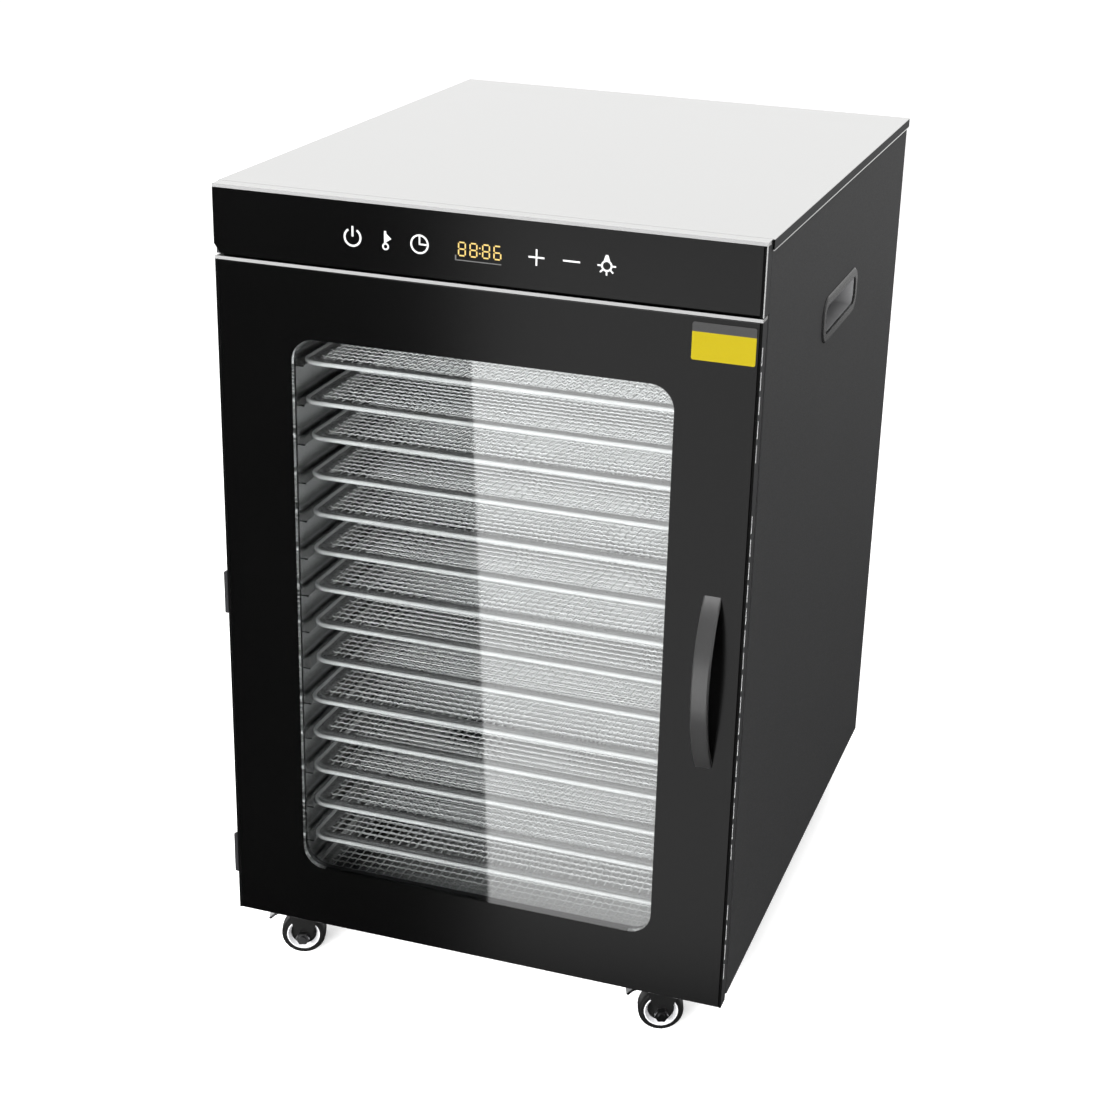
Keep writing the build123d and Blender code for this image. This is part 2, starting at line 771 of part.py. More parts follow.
with BuildPart() as caster_wheel:
    half = wheel_width / 2
    with BuildSketch(Plane.XY):
        with BuildLine():
            Polyline(
                (axle_radius + clear, -fork_inner_half + 0.3),
                (wheel_hub_radius, -fork_inner_half + 0.3),
                (wheel_hub_radius, -wheel_web),
                (10.2, -wheel_web - 0.6),
                (wheel_ring_inner, -half - 0.2),
                (wheel_ring_outer, -half - 0.2),
                (14.4, -half),
                (16.2, -half),
            )
            tread = wheel_radius + tyre_squash
            shoulder = tread - wheel_crown
            ThreePointArc((16.2, -half), (18.1, -half + 0.9), (shoulder, -half + 3))
            ThreePointArc((shoulder, -half + 3), (tread, 0), (shoulder, half - 3))
            ThreePointArc((shoulder, half - 3), (18.1, half - 0.9), (16.2, half))
            Polyline(
                (16.2, half),
                (14.4, half),
                (wheel_ring_outer, half + 0.2),
                (wheel_ring_inner, half + 0.2),
                (10.2, wheel_web + 0.6),
                (wheel_hub_radius, wheel_web),
                (wheel_hub_radius, fork_inner_half - 0.3),
                (axle_radius + clear, fork_inner_half - 0.3),
                (axle_radius + clear, -fork_inner_half + 0.3),
            )
        make_face()
    revolve(axis=Axis.Y)
    slab((-10, 10), (-10, 10), (-wheel_radius - 2, -wheel_radius), mode=Mode.SUBTRACT)
wheel_home = Location((-caster_trail, 0, wheel_radius))
for name, place in caster_places.items():
    swivel = Location((*place, 0), (0, 0, caster_turn))
    save(caster_wheel.part.moved(swivel * wheel_home), f"caster_wheel_{name}")

with BuildPart() as brake_lever:
    pivot_x, pivot_z = lever_pivot
    rod((pivot_x, -outer_y + 0.1, pivot_z), (pivot_x, outer_y - 0.1, pivot_z), lever_pin_radius)
    with BuildSketch(Plane.XZ.offset(-7.5)):
        with BuildLine():
            Polyline(
                (pivot_x + 1, pivot_z - 2.2),
                (pivot_x - 10, pivot_z - 3),
                (pivot_x - 16, pivot_z - 6),
                (pivot_x - 20, pivot_z - 9.6),
                (pivot_x - 21.5, pivot_z - 8.2),
                (pivot_x - 17, pivot_z - 4),
                (pivot_x - 10, pivot_z - 0.8),
                (pivot_x + 1, pivot_z - 0.4),
                close=True,
            )
        make_face()
    extrude(amount=15)
for name in ("front_left", "front_right"):
    swivel = Location((*caster_places[name], 0), (0, 0, caster_turn))
    save(brake_lever.part.moved(swivel), f"brake_lever_{name}")


# ---------------------------------------------------------------- screws
def pan_screw(at, direction, head_radius, shank_radius, shank_length):
    """Pan-head screw whose head stands on a surface at the given point."""
    start = Vector(*at)
    way = Vector(*direction)
    head_end = start + way * (0.55 * head_radius)
    tail = start - way * shank_length
    rod(tuple(start), tuple(head_end), head_radius)
    rod(tuple(tail), tuple(start), shank_radius)


with BuildPart() as cabinet_screws:
    for place_x, place_y in caster_places.values():
        for x_side in (-1, 1):
            for y_side in (-1, 1):
                pan_screw(
                    (
                        place_x + x_side * plate_hole_offset,
                        place_y + y_side * plate_hole_offset,
                        base_z - plate_thickness,
                    ),
                    (0, 0, -1),
                    plate_screw_head_radius,
                    plate_screw_radius,
                    plate_thickness + 2.9,
                )
    for x_side in (-1, 1):
        for height in panel_screw_heights:
            at = (x_side * panel_screw_x, back_y, height)
            pan_screw(at, (0, 1, 0), screw_head_radius, screw_radius, 6)
    for x_side in (-1, 1):
        at = (inlet_x + 20 * x_side, back_y + 2, inlet_z)
        pan_screw(at, (0, 1, 0), inlet_screw_head_radius, screw_radius, 2)
save(cabinet_screws.part, "cabinet_screws")
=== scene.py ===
import json
import math

import bmesh
import bpy
import numpy as np
from mathutils import Matrix, Vector


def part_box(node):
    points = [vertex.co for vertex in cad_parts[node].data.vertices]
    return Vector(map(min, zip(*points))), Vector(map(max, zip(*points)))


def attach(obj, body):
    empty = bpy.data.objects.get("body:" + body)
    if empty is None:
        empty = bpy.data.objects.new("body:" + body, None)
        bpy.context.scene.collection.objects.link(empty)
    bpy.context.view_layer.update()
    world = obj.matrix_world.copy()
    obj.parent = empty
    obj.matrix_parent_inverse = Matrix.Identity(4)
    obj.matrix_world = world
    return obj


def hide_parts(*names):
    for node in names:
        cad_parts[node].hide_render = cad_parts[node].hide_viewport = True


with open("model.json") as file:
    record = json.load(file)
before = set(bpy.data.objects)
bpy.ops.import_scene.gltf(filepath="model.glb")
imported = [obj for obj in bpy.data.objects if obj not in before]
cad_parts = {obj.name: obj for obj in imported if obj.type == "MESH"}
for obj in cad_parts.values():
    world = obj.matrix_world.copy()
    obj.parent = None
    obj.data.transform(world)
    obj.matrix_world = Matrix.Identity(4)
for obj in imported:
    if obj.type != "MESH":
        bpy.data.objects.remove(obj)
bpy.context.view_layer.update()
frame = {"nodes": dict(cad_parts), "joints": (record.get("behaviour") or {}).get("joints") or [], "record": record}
nodes = frame["nodes"]

MM = 0.001
scene = bpy.context.scene

# ---------------------------------------------------------------- driving sizes
WINDOW_HALF = 152.5 * MM      # half the window's width
WINDOW_LOW = 106.3 * MM       # its bottom and top edge above the floor
WINDOW_HIGH = 567.8 * MM
WINDOW_CORNER = 19 * MM
GLASS_BEVEL = 0.6 * MM        # on the outer edge of the door's glass
PANE_GAP = 2e-5               # share of its width by which the pane is narrower than its hole

WIRE_PITCH_Y = 8.5 * MM       # between the tray's crosswise wires
WIRE_PITCH_X = 7.65 * MM      # between its front-to-back wires
CROSS_WIRE = 0.60 * MM        # radius of a crosswise wire
LONG_WIRE = 0.42 * MM         # radius of a front-to-back wire
CROSS_WAVE = 0.56 * MM        # how far the crosswise wires bow up and down
LONG_WAVE = 0.34 * MM         # the same for the front-to-back wires
WIRE_TUCK = 1.5 * MM          # how far a wire's end reaches into the flange
WIRE_SIDES = 4                # flat sides of a wire, and of the bead
BEAD_SIDES = 10
BEAD_RADIUS = 1.8 * MM
TRAY_CORNER = 14 * MM
FLANGE_FRONT = 12 * MM        # flat band inside the tray's bead
FLANGE_SIDE = 10 * MM
FLANGE_SHEET = 0.8 * MM
FLANGE_CORNER = 4 * MM        # inner corner of the band

SLOT_PITCH = 18.3 * MM        # between the slots in the door's side edges
SLOT_LENGTH = 13.5 * MM
SLOT_FIRST = 78.0 * MM        # foot of the lowest slot
SLOT_PLACES = 29
SLOTS_LEFT_OUT = (4, 5, 22, 23)
SLOT_INSET = 3 * MM           # from the door's front face to the slots' middle
RIM_PROUD = 0.2 * MM          # how far a slot's rim stands out

EDGE_STRIP = 2.6 * MM         # bare steel along the top of the door's and the fascia's edge
FASCIA_STRIP = 0.9 * MM       # bare steel on the fascia's front, at the handle's end
FASCIA_FRONT = 0.5 * MM       # depth of that front strip
FACE_DEPTH = 0.3 * MM         # depth of the black front edge of a coated part
COVER_FLAT = 0.5 * MM         # how deep under the cover's top its bare flat ends
COVER_FOLD = 0.9 * MM         # height of the bare fold under the cover's lip
LABEL_BAND = 7.2 * MM         # grey band at the label's top
GRIP_FLANGE = 2.2 * MM        # how far inside the grip's face its cup starts
RING_INNER = 10.9 * MM        # pale ring on a wheel's side
RING_OUTER = 14.3 * MM
BOLT_RADIUS = 6.8 * MM        # round an axle's bolt head and nut
FORK_OUTSIDE = 11.0 * MM      # from a wheel's middle to its fork's outer face
SHARP = 0.1 * MM              # width over which one finish gives way to the next
SOFT = 0.3 * MM

ICON_DEPTH = 0.12 * MM        # how far the print stands on the control glass
STROKE = 0.80                 # weight of the print's lines against their given width
FIGURE_HALF_WIDE = 2.6 * MM   # half a lit figure's width and height
FIGURE_HALF_TALL = 4.9 * MM
SEGMENT_GAP = 0.6 * MM        # at each end of a figure's segment

X, Y = 0, 1                   # the axis that a flat plate faces along


# ---------------------------------------------------------------- node helpers
class Shader:
    """A material's node tree, with short ways to add and join nodes."""

    def __init__(self, name):
        self.material = bpy.data.materials.new(name)
        self.material.use_nodes = True
        self.tree = self.material.node_tree
        self.tree.nodes.clear()
        self.output = self.add("ShaderNodeOutputMaterial")

    def add(self, kind, **settings):
        node = self.tree.nodes.new(kind)
        for key, value in settings.items():
            setattr(node, key, value)
        return node

    def feed(self, socket, value):
        """Joins a socket to another, or sets its value."""
        if isinstance(value, bpy.types.NodeSocket):
            self.tree.links.new(value, socket)
        elif isinstance(value, (tuple, list, Vector)) and socket.type == "RGBA":
            socket.default_value = (*value[:3], 1)
        else:
            socket.default_value = value

    def principled(self, **inputs):
        node = self.add("ShaderNodeBsdfPrincipled")
        for key, value in inputs.items():
            self.feed(node.inputs[key.replace("_", " ")], value)
        return node

    def place(self):
        """Object coordinates, in metres."""
        return self.add("ShaderNodeTexCoord").outputs["Object"]

    def math(self, operation, a, b=0.0):
        node = self.add("ShaderNodeMath", operation=operation)
        self.feed(node.inputs[0], a)
        self.feed(node.inputs[1], b)
        return node.outputs[0]

    def axes(self, vector):
        """A vector's three parts, by the names X, Y and Z."""
        node = self.add("ShaderNodeSeparateXYZ")
        self.feed(node.inputs[0], vector)
        return node.outputs

    def scaled(self, scale):
        """Object coordinates with each axis scaled by its own amount."""
        node = self.add("ShaderNodeMapping")
        self.feed(node.inputs["Vector"], self.place())
        node.inputs["Scale"].default_value = scale
        return node.outputs[0]

    def noise(self, scale, detail=3.0, rough=0.55):
        """Noise over object coordinates; scale is per metre, one value or one for each axis."""
        node = self.add("ShaderNodeTexNoise")
        per_axis = scale if isinstance(scale, tuple) else (scale,) * 3
        self.feed(node.inputs["Vector"], self.scaled(per_axis))
        node.inputs["Scale"].default_value = 1.0
        node.inputs["Detail"].default_value = detail
        node.inputs["Roughness"].default_value = rough
        return node.outputs["Fac"]

    def span(self, value, low, high, to_low=0.0, to_high=1.0):
        """Value from low..high carried over to to_low..to_high, and held there."""
        node = self.add("ShaderNodeMapRange")
        node.clamp = True
        for socket, given in zip(node.inputs, (value, low, high, to_low, to_high)):
            self.feed(socket, given)
        return node.outputs[0]

    def past(self, value, level, fade=SHARP):
        """1 where a length is past a level, and 0 before it."""
        return self.span(value, level, level + fade)

    def short_of(self, value, level, fade=SHARP):
        """1 where a length is short of a level, and 0 past it."""
        return self.span(value, level, level + fade, 1.0, 0.0)

    def tint(self, factor, first, second):
        """Colour between two others, the second where the factor is 1."""
        node = self.add("ShaderNodeMix", data_type="RGBA")
        self.feed(node.inputs[0], factor)
        self.feed(node.inputs[6], first)
        self.feed(node.inputs[7], second)
        return node.outputs[2]

    def bump(self, height, strength, distance):
        node = self.add("ShaderNodeBump")
        node.inputs["Strength"].default_value = strength
        node.inputs["Distance"].default_value = distance
        self.feed(node.inputs["Height"], height)
        return node.outputs[0]

    def done(self, surface):
        self.feed(self.output.inputs["Surface"], surface)
        return self.material


def brushed_steel(name, colour, rough, grain=(8, 2600, 2600), spread=0.10, bump=0.12, metallic=1.0):
    """Steel with faint smudges and a grain, streaked along the axis where its scale is small."""
    s = Shader(name)
    streak = s.noise(grain, 2.0)
    smudge = s.noise(14.0, 4.0)
    tone = s.tint(s.span(streak, 0.3, 0.7), [c * 0.9 for c in colour], colour)
    tone = s.tint(s.span(smudge, 0.35, 0.75, 0, 0.25), tone, [c * 0.86 for c in colour])
    gloss = s.span(streak, 0.25, 0.75, rough - spread, rough + spread)
    surface = s.principled(
        Base_Color=tone, Metallic=metallic, Roughness=gloss, Normal=s.bump(streak, bump, 0.02 * MM)
    )
    return s.done(surface.outputs[0])


def coated(name, colour, rough, speck=900.0, bump=0.15, depth=0.04 * MM, level=0.5, vary=0.16):
    """Paint or moulded plastic with a fine texture."""
    s = Shader(name)
    fine = s.noise(speck, 3.0)
    broad = s.noise(11.0, 3.0)
    tone = s.tint(s.span(broad, 0.35, 0.7), colour, [c * (1 + vary) for c in colour])
    tone = s.tint(s.span(fine, 0.45, 0.75, 0, 0.5), tone, [c * (1 - vary) for c in colour])
    surface = s.principled(
        Base_Color=tone,
        Roughness=s.span(fine, 0.3, 0.7, rough * 0.88, min(1, rough * 1.12)),
        Specular_IOR_Level=level,
        Normal=s.bump(fine, bump, depth),
    )
    return s.done(surface.outputs[0])


def black_print_material(name):
    """Glass printed black behind: deep black under a soft gloss."""
    s = Shader(name)
    haze = s.noise(7.0, 3.0)
    surface = s.principled(
        Base_Color=s.tint(haze, (0.0006, 0.0006, 0.0006), (0.0010, 0.0010, 0.0010)),
        Roughness=s.span(haze, 0.3, 0.7, 0.15, 0.17),
        Specular_IOR_Level=0.44,
    )
    return s.done(surface.outputs[0])


def window_material():
    """Clear glass that lets light straight through and mirrors a little."""
    s = Shader("window_clear")
    smear = s.noise(5.0, 4.0)
    gloss = s.add("ShaderNodeBsdfGlossy")
    s.feed(gloss.inputs["Roughness"], s.span(smear, 0.4, 0.7, 0.01, 0.03))
    clear = s.add("ShaderNodeBsdfTransparent")
    s.feed(clear.inputs["Color"], s.tint(smear, (0.95, 0.96, 0.96), (0.92, 0.93, 0.93)))
    fresnel = s.add("ShaderNodeFresnel")
    fresnel.inputs["IOR"].default_value = 1.5
    coating = s.math("ADD", fresnel.outputs[0], 0.20)
    pane = s.add("ShaderNodeMixShader")
    s.feed(pane.inputs[0], coating)
    s.feed(pane.inputs[1], clear.outputs[0])
    s.feed(pane.inputs[2], gloss.outputs[0])
    return s.done(pane.outputs[0])


def part_painted_steel(name, node, bright_where):
    """Charcoal coat, black on the front edge, with bare steel left where a mask says. On the top cover's lip the
    charcoal coat is painted shade.
    """
    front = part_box(node)[0].y
    s = Shader(name)
    grain = s.noise(1500.0, 3.0)
    streak = s.noise((9, 2600, 2600), 2.0)
    place = s.axes(s.place())
    bare = bright_where(s, place)
    coat = s.tint(grain, (0.020, 0.020, 0.021), (0.024, 0.024, 0.025))
    behind_face = s.past(place["Y"], front + FACE_DEPTH)
    coat = s.tint(behind_face, (0.001, 0.001, 0.001), coat)
    steel = s.tint(streak, (0.66, 0.66, 0.65), (0.74, 0.74, 0.735))
    steel = s.tint(behind_face, (0.12, 0.12, 0.12), steel)
    surface = s.principled(
        Base_Color=s.tint(bare, coat, steel),
        Metallic=s.math("MULTIPLY", bare, behind_face),
        Roughness=s.span(bare, 0.0, 1.0, 0.60, 0.24),
        Specular_IOR_Level=0.22,
        Normal=s.bump(grain, 0.08, 0.03 * MM),
    )
    return s.done(surface.outputs[0])


def door_bare(s, place):
    """Only the strip along the door's top edge is bare."""
    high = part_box("door_frame")[1]
    return s.past(place["Z"], high.z - EDGE_STRIP)


def fascia_bare(s, place):
    """The fascia's top edge and the narrow front strip at the handle end are bare."""
    low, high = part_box("control_fascia")
    top = s.past(place["Z"], high.z - EDGE_STRIP)
    front = s.short_of(place["Y"], low.y + FASCIA_FRONT)
    end = s.math("MULTIPLY", front, s.past(place["X"], high.x - FASCIA_STRIP))
    return s.math("MAXIMUM", top, end)


def cover_bare(s, place):
    """The cover's flat and the folded edge under its lip are bare; the lip is coated charcoal, painted shade that
    stands for the dark reflection of its steel.
    """
    low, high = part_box("top_cover")
    flat = s.past(place["Z"], high.z - COVER_FLAT)
    fold = s.short_of(place["Z"], low.z + COVER_FOLD)
    return s.math("MAXIMUM", flat, fold)


def glowing(name, colour, strength, light):
    """A lit surface, its light a little uneven."""
    s = Shader(name)
    spot = s.noise(500.0, 2.0)
    surface = s.principled(
        Base_Color=colour,
        Roughness=0.4,
        Emission_Color=s.tint(s.span(spot, 0.3, 0.7), [c * 0.85 for c in light], light),
        Emission_Strength=strength,
    )
    return s.done(surface.outputs[0])


def label_material():
    """Plain printed film: a grey band on top, yellow under it, no lettering."""
    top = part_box("door_label")[1].z
    s = Shader("label_print")
    z = s.axes(s.place())["Z"]
    fibre = s.noise(600.0, 3.0)
    band = s.past(z, top - LABEL_BAND, SOFT)
    yellow = s.tint(fibre, (0.130, 0.103, 0.0004), (0.146, 0.115, 0.0008))
    grey = s.tint(fibre, (0.017, 0.017, 0.017), (0.024, 0.024, 0.024))
    surface = s.principled(
        Base_Color=s.tint(band, yellow, grey),
        Roughness=s.span(fibre, 0.3, 0.7, 0.38, 0.5),
        Specular_IOR_Level=0.12,
    )
    return s.done(surface.outputs[0])


def body_of(node):
    """Name of the body that a CAD node belongs to."""
    groups = frame["record"]["behaviour"]["bodies"]
    return next(body for body, members in groups.items() if node in members)


def around_axle(s, wheel_node):
    """Distance from a wheel's axle, and place along it."""
    low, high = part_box(wheel_node)
    centre = (low + high) / 2
    joint = next(j for j in frame["joints"] if j["child"] == body_of(wheel_node))
    axis = Vector(joint["axis"]).normalized()
    offset = s.add("ShaderNodeVectorMath", operation="SUBTRACT")
    s.feed(offset.inputs[0], s.place())
    offset.inputs[1].default_value = centre
    along = s.add("ShaderNodeVectorMath", operation="DOT_PRODUCT")
    s.feed(along.inputs[0], offset.outputs[0])
    along.inputs[1].default_value = axis
    cross = s.add("ShaderNodeVectorMath", operation="CROSS_PRODUCT")
    s.feed(cross.inputs[0], offset.outputs[0])
    cross.inputs[1].default_value = axis
    size = s.add("ShaderNodeVectorMath", operation="LENGTH")
    s.feed(size.inputs[0], cross.outputs[0])
    return size.outputs["Value"], along.outputs["Value"]


def wheel_material(wheel_node):
    """Black tyre, pale ring and dark web, by distance from the axle."""
    s = Shader(f"wheel_{wheel_node}")
    radius, _ = around_axle(s, wheel_node)
    grain = s.noise(900.0, 3.0)
    outside_web = s.past(radius, RING_INNER, SOFT)
    inside_tyre = s.short_of(radius, RING_OUTER - SOFT, SOFT)
    ring = s.math("MULTIPLY", outside_web, inside_tyre)
    rubber = s.tint(grain, (0.003, 0.003, 0.003), (0.006, 0.006, 0.006))
    pale = s.tint(grain, (0.36, 0.36, 0.37), (0.48, 0.48, 0.49))
    surface = s.principled(
        Base_Color=s.tint(ring, rubber, pale),
        Roughness=s.span(grain, 0.3, 0.7, 0.38, 0.52),
        Normal=s.bump(grain, 0.2, 0.05 * MM),
    )
    return s.done(surface.outputs[0])


def fork_material(fork_node, wheel_node):
    """Black fork with a bright axle bolt and nut."""
    s = Shader(f"fork_{fork_node}")
    radius, along = around_axle(s, wheel_node)
    grain = s.noise(1100.0, 3.0)
    outboard = s.past(s.math("ABSOLUTE", along), FORK_OUTSIDE)
    bolt = s.math("MULTIPLY", s.short_of(radius, BOLT_RADIUS), outboard)
    black = s.tint(grain, (0.003, 0.003, 0.003), (0.007, 0.007, 0.007))
    zinc = s.tint(grain, (0.34, 0.34, 0.35), (0.46, 0.46, 0.47))
    surface = s.principled(
        Base_Color=s.tint(bolt, black, zinc),
        Metallic=bolt,
        Roughness=s.span(grain, 0.3, 0.7, 0.30, 0.42),
        Normal=s.bump(grain, 0.2, 0.04 * MM),
    )
    return s.done(surface.outputs[0])


def grip_material(node):
    """Dark moulded plastic; the paler colour inside the recess is painted light, standing for light that its inner
    walls catch.
    """
    low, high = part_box(node)
    face = max(abs(low.x), abs(high.x))
    s = Shader(f"plastic_{node}")
    x = s.axes(s.place())["X"]
    grain = s.noise(1400.0, 3.0)
    inside = s.short_of(s.math("ABSOLUTE", x), face - GRIP_FLANGE, fade=0.4 * MM)
    rim = s.tint(grain, (0.008, 0.008, 0.008), (0.014, 0.014, 0.014))
    # Painted light: the paler colour inside the recess stands for light caught on its inner walls.
    cup_painted_light = s.tint(grain, (0.17, 0.17, 0.173), (0.21, 0.21, 0.213))
    surface = s.principled(
        Base_Color=s.tint(inside, rim, cup_painted_light),
        Roughness=s.span(grain, 0.3, 0.7, 0.20, 0.26),
        Specular_IOR_Level=0.40,
        Normal=s.bump(grain, 0.06, 0.03 * MM),
    )
    return s.done(surface.outputs[0])


def board_material():
    """Green circuit board with blotches of copper under the lacquer."""
    s = Shader("circuit_board")
    trace = s.noise(160.0, 2.0)
    lacquer = s.tint(s.span(trace, 0.45, 0.55), (0.01, 0.07, 0.03), (0.02, 0.13, 0.06))
    surface = s.principled(Base_Color=lacquer, Roughness=0.45)
    return s.done(surface.outputs[0])


def dress(names, material):
    """Gives CAD nodes one material."""
    for name in names:
        target = nodes[name].data.materials
        target.clear()
        target.append(material)


# ---------------------------------------------------------------- materials on the CAD nodes
# The top cover's charcoal lip is painted shade: it stands for its bare steel mirroring a dark room.
dress(["top_cover"], part_painted_steel("cover_steel_lip_painted_shade", "top_cover", cover_bare))
dress(["control_fascia"], part_painted_steel("fascia_steel", "control_fascia", fascia_bare))
dress(["door_frame"], part_painted_steel("door_steel", "door_frame", door_bare))
# The side panels' charcoal colour is a painted reflection: it stands for bare steel mirroring a dark room.
dress(
    ["left_side_panel", "right_side_panel"],
    coated("side_steel_painted_dark_reflection", (0.0225, 0.0225, 0.0232), 0.62, 1500, 0.10, level=0.22, vary=0.05),
)
dress(
    ["base_pan", "back_panel", "caster_plates", "front_frame"],
    brushed_steel("plain_steel", (0.50, 0.51, 0.52), 0.34, (60, 60, 60), 0.08),
)
dress(
    ["cabinet_hinge_brackets", "door_hinge_leaves"],
    coated("hinge_coat", (0.012, 0.012, 0.013), 0.45, 1200, 0.10, level=0.3, vary=0.1),
)
dress(
    ["cabinet_screws", "fan_impeller"],
    brushed_steel("bright_steel", (0.62, 0.62, 0.63), 0.28, (300, 300, 300)),
)
dress(["fan_motor"], brushed_steel("motor_steel", (0.36, 0.37, 0.38), 0.4, (90, 90, 90)))
dress(
    ["liner_floor", "liner_ceiling", "left_rack_wall", "right_rack_wall", "air_baffle"],
    brushed_steel("liner_steel", (0.72, 0.72, 0.72), 0.22, (14, 900, 900), 0.06, 0.05),
)
dress(["control_glass"], black_print_material("control_glass_black"))
for side in ("left", "right"):
    dress([f"{side}_recess_grip"], grip_material(f"{side}_recess_grip"))
dress(
    ["power_inlet", "temperature_probe", "display_module"],
    coated("black_plastic", (0.018, 0.018, 0.019), 0.4),
)
dress(
    ["door_handle"],
    brushed_steel("handle_metal", (0.17, 0.17, 0.17), 0.33, (2400, 2400, 60), 0.05, 0.05, metallic=0.92),
)
dress(["door_gasket", "door_magnets"], coated("gasket_rubber", (0.014, 0.014, 0.015), 0.6, 700, 0.3))
dress(["door_label"], label_material())
dress(["control_board", "power_board"], board_material())
dress(["heating_element"], brushed_steel("heater_tube", (0.30, 0.28, 0.26), 0.42, (120, 120, 120)))
dress(["chamber_lamp"], glowing("lamp_lens", (1.0, 0.97, 0.90), 1.2, (1.0, 0.97, 0.90)))
dress(
    ["brake_lever_front_left", "brake_lever_front_right"],
    brushed_steel("zinc", (0.55, 0.55, 0.56), 0.3, (200, 200, 200)),
)
for corner in ("front_left", "front_right", "rear_left", "rear_right"):
    wheel = f"caster_wheel_{corner}"
    fork = f"caster_fork_{corner}"
    dress([wheel], wheel_material(wheel))
    dress([fork], fork_material(fork, wheel))


# ---------------------------------------------------------------- mesh helpers
def add_piece(name, mesh, body, stands_for=(), place=(0, 0, 0)):
    """Puts a finished mesh on its body, in place of the CAD nodes that it stands for."""
    piece = bpy.data.objects.new(name, mesh)
    scene.collection.objects.link(piece)
    piece.location = place
    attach(piece, body)
    if stands_for:
        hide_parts(*stands_for)


class Soup:
    """Vertices and faces gathered from many small shapes."""

    def __init__(self):
        self.points = []
        self.faces = []
        self.count = 0

    def tube(self, path, radius, sides, closed=False):
        """Round tube along a path of points that never runs upright, with flat ends."""
        path = np.asarray(path, float)
        if closed:
            ahead = np.roll(path, -1, 0) - np.roll(path, 1, 0)
        else:
            ahead = np.gradient(path, axis=0)
        ahead /= np.linalg.norm(ahead, axis=1)[:, None]
        side = np.cross(ahead, (0.0, 0.0, 1.0))
        side /= np.linalg.norm(side, axis=1)[:, None]
        over = np.cross(side, ahead)
        turn = 2 * np.pi * (np.arange(sides) + 0.5) / sides
        ring = side[:, None] * np.cos(turn)[None, :, None] + over[:, None] * np.sin(turn)[None, :, None]
        self.points.append((path[:, None] + radius * ring).reshape(-1, 3))
        rows = len(path)
        base = self.count
        for row in range(rows if closed else rows - 1):
            here = base + row * sides
            there = base + ((row + 1) % rows) * sides
            for k in range(sides):
                after = (k + 1) % sides
                self.faces.append((here + k, here + after, there + after, there + k))
        if not closed:
            self.faces.append(tuple(base + k for k in reversed(range(sides))))
            self.faces.append(tuple(base + (rows - 1) * sides + k for k in range(sides)))
        self.count += rows * sides

    def band(self, outer, inner, low, high):
        """Flat ring between two outlines with as many points each, low to high."""
        n = len(outer)
        loops = []
        for outline, z in ((outer, low), (outer, high), (inner, high), (inner, low)):
            flat = np.asarray(outline, float)
            loops.append(np.column_stack([flat, np.full(n, z)]))
        self.points.append(np.vstack(loops))
        for k in range(n):
            after = (k + 1) % n
            for loop in range(4):
                a = self.count + loop * n
                b = self.count + ((loop + 1) % 4) * n
                self.faces.append((a + k, a + after, b + after, b + k))
        self.count += 4 * n

    def slab(self, outline, low, high, facing):
        """Flat plate between two levels of one axis, its outline given in the other two."""
        n = len(outline)
        flat = np.asarray(outline, float)
        for level in (low, high):
            self.points.append(np.insert(flat, facing, level, axis=1))
        base = self.count
        self.faces.append(tuple(base + k for k in reversed(range(n))))
        self.faces.append(tuple(base + n + k for k in range(n)))
        for k in range(n):
            after = (k + 1) % n
            self.faces.append((base + k, base + after, base + n + after, base + n + k))
        self.count += 2 * n

    def rings(self, loops):
        """Closed skin through loops with as many points each, joined back to the first."""
        n = len(loops[0])
        for loop in loops:
            self.points.append(np.asarray(loop, float))
        for level in range(len(loops)):
            here = self.count + level * n
            there = self.count + (level + 1) % len(loops) * n
            for k in range(n):
                after = (k + 1) % n
                self.faces.append((here + k, here + after, there + after, there + k))
        self.count += n * len(loops)

    def mesh(self, name, *materials, smooth=False):
        """The gathered shapes as one mesh, its faces turned outward."""
        made = bpy.data.meshes.new(name)
        made.from_pydata(np.vstack(self.points).tolist(), [], self.faces)
        made.update()
        turned = bmesh.new()
        turned.from_mesh(made)
        bmesh.ops.recalc_face_normals(turned, faces=turned.faces)
        turned.to_mesh(made)
        turned.free()
        if smooth:
            made.shade_smooth()
        for material in materials:
            made.materials.append(material)
        return made


def rounded_outline(half_x, half_y, corner, steps=8):
    """Anticlockwise outline of a rounded rectangle about the origin."""
    points = []
    for quarter, (sign_x, sign_y) in enumerate(((1, 1), (-1, 1), (-1, -1), (1, -1))):
        for step in range(steps + 1):
            angle = math.radians(90 * quarter + 90 * step / steps)
            x = sign_x * (half_x - corner) + corner * math.cos(angle)
            y = sign_y * (half_y - corner) + corner * math.sin(angle)
            points.append((x, y))
    return points


# ---------------------------------------------------------------- door glass
def matched_outline(inner, half_x, low_z, high_z):
    """Points on an upright rectangle, one for each point of an outline inside it."""
    middle = (low_z + high_z) / 2
    half_z = (high_z - low_z) / 2
    points = []
    quarter = len(inner) // 4
    for number, (x, z) in enumerate(inner):
        side, step = divmod(number, quarter)
        corner_x = (1, -1, -1, 1)[side] * half_x
        corner_z = middle + (1, 1, -1, -1)[side] * half_z
        share = step / (quarter - 1)
        pull = min(1, 2 * min(share, 1 - share))
        upright_first = side in (0, 2)
        if (share < 0.5) == upright_first:
            points.append((corner_x, z + (corner_z - z) * pull))
        else:
            points.append((x + (corner_x - x) * pull, corner_z))
    return points


